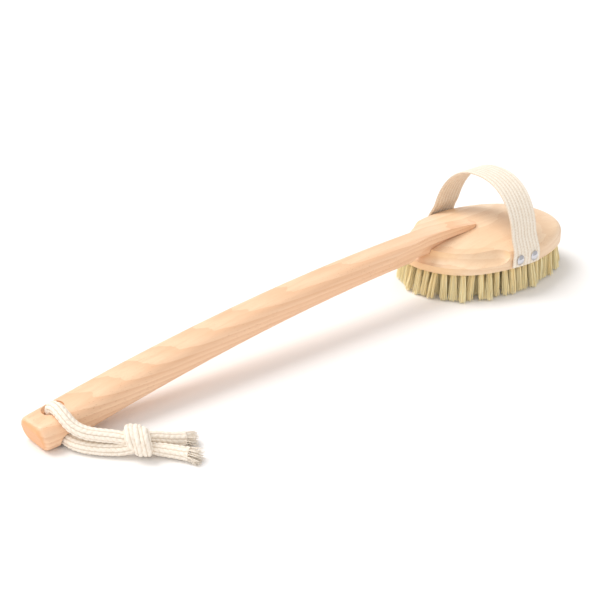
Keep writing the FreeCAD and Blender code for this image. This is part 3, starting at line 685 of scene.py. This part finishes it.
def frayed_end(name, line, radius, length, material, seed):
    """Loose yarn ends past a tail's end, falling to the surface it lies on."""
    chance = random.Random(seed)
    tip = line[-1]
    ahead = (line[-1] - line[-4]).normalized()
    side, up = carried_frames(line)[-1]
    points = []
    faces = []
    shades = []
    sides = 4
    stations = 6
    for _ in range(FRAY_FIBRES):
        spot = disc_point(chance, 1.0)
        across = side * spot.x + up * spot.y
        start = tip - ahead * FRAY_OVERLAP * MM + across * radius * 0.92 * MM
        reach = length * chance.uniform(0.55, 1.0)
        drift = across * chance.uniform(0.6, 2.2) + Vector((0, 0, -chance.uniform(0.2, 1.2)))
        curl = disc_point(chance, 1.4)
        thick = chance.uniform(0.16, 0.3)
        tone = chance.uniform(0.85, 1.0)
        first = len(points)
        centres = []
        for k in range(stations):
            share = k / (stations - 1)
            place = start + ahead * (reach * share + FRAY_OVERLAP * share) * MM
            place += (drift * share**1.6 + curl * math.sin(share * 2.4) * share) * MM
            place.z = max(place.z, (thick + 0.05) * MM)
            centres.append(place)
        for k, ((across_1, across_2), place) in enumerate(zip(carried_frames(centres), centres)):
            width = thick * mix(1.0, 0.45, k / (stations - 1)) * MM
            for n in range(sides):
                angle = 2 * math.pi * n / sides
                points.append(place + (across_1 * math.cos(angle) + across_2 * math.sin(angle)) * width)
                shades.append(tone)
        faces += tube_faces(first, stations, sides)
    fray = mesh_object(name, points, faces, material)
    point_shade(fray, shades)
    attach(fray, "handle")
    return fray


def knot_wraps(material):
    """The turns of the overhand knot round its two strands, pulled tight."""
    up = Vector((0, 0, 1))
    across = KNOT_AXIS.cross(up).normalized()
    high = across.cross(KNOT_AXIS)
    route = []
    steps = 34
    for k in range(steps + 1):
        share = k / steps
        angle = 2 * math.pi * KNOT_TURNS * share - 0.9
        dive = smooth_step(0.0, 0.1, share) * smooth_step(0.0, 0.1, 1 - share)
        reach = mix(2.4, 5.9, dive)
        advance = mix(-4.6, 4.6, share) + 2.3 * math.cos(angle + 0.8)
        spot = KNOT_CENTRE + KNOT_AXIS * advance
        spot = spot + across * reach * 0.96 * math.cos(angle) + high * reach * 0.96 * math.sin(angle)
        route.append(spot * MM)
    line, _ = smooth_line(route, 0.35 * MM)
    return braided_tube(
        "rope_knot_turns", line, lambda share: KNOT_TURN_RADIUS, material, columns=6, relief=0.55
    )


def tail_radius(share):
    """A rope that is squeezed in the knot and loosens towards its end."""
    squeezed = 1 - 0.16 * math.exp(-(((share - 0.68) / 0.09) ** 2))
    return ROPE_RADIUS * squeezed * mix(1.0, 1.04, smooth_step(0.9, 1.0, share))


def make_rope(material):
    """The hanging rope: through the butt, the two strands that come out of it, the knot that ties
    them together, and their frayed tails."""
    knot = knot_wraps(material)
    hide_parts("rope_knot")
    inside, _ = smooth_line(metres(ROPE_IN_HANDLE), 0.4 * MM)
    through = braided_tube("rope_through_butt", inside, lambda share: ROPE_RADIUS, material)
    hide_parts("rope_in_handle")
    strands = (
        ("upper", UPPER_RUN, (-178.4, -44.0, 10.2), UPPER_TAIL, [knot], 21),
        ("lower", LOWER_RUN, (-178.9, -46.0, 7.4), LOWER_TAIL, [], 22),
    )
    for word, run, middle, tail, pieces, seed in strands:
        line, length = smooth_line(metres(run + [middle] + tail), 0.4 * MM)
        strand = braided_tube(f"rope_{word}_strand", line, tail_radius, material)
        fray = frayed_end(f"rope_{word}_fray", line, ROPE_RADIUS, 7.0, material, seed)
        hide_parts(f"rope_{word}_run", f"rope_tail_{word}")


# ---------------------------------------------------------------- the whole brush
def clothe(node, material):
    """Gives a CAD piece its finished material."""
    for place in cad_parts[node].material_slots:
        place.material = material


camera_at(-41.74, 24.33, 0.6908, (-0.02744, -0.00221, 0.030), 66.5)
studio()

head_wood = beech(
    "head_beech", colour(244, 216, 184), colour(222, 180, 138), colour(236, 200, 162), colour(240, 200, 152),
    pith=(0, 0.012, 0.055), tilt=(0.1, 0.02, 0.03), ring_width=0.0042, seed=3,
)
handle_wood = beech(
    "handle_beech", colour(249, 212, 178), colour(222, 166, 122), colour(240, 190, 148),
    colour(232, 168, 112),
    pith=(0, 0.004, 0.038), tilt=(0.0, 0.05, 0.012), ring_width=0.0030, seed=1,
)
clothe("head_block", head_wood.material)
clothe("handle", handle_wood.material)
nickel = polished_nickel().material
for side in ("near", "far"):
    for number in (1, 2):
        clothe(f"strap_nail_{side}_{number}", nickel)
clothe("tuft_anchors", drawn_wire().material)

bristle = plant_fibre().material
wood_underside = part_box("head_block")[0][2]
for number in range(1, 8):
    make_bristles(f"tuft_ring_{number}", number, bristle, wood_underside)

webbing = cotton("cotton_webbing", colour(247, 238, 224), colour(232, 216, 194), 2600).material
make_strap(webbing)
rope_cotton = cotton("cotton_rope", colour(252, 243, 230), colour(240, 224, 204), 2200).material
make_rope(rope_cotton)
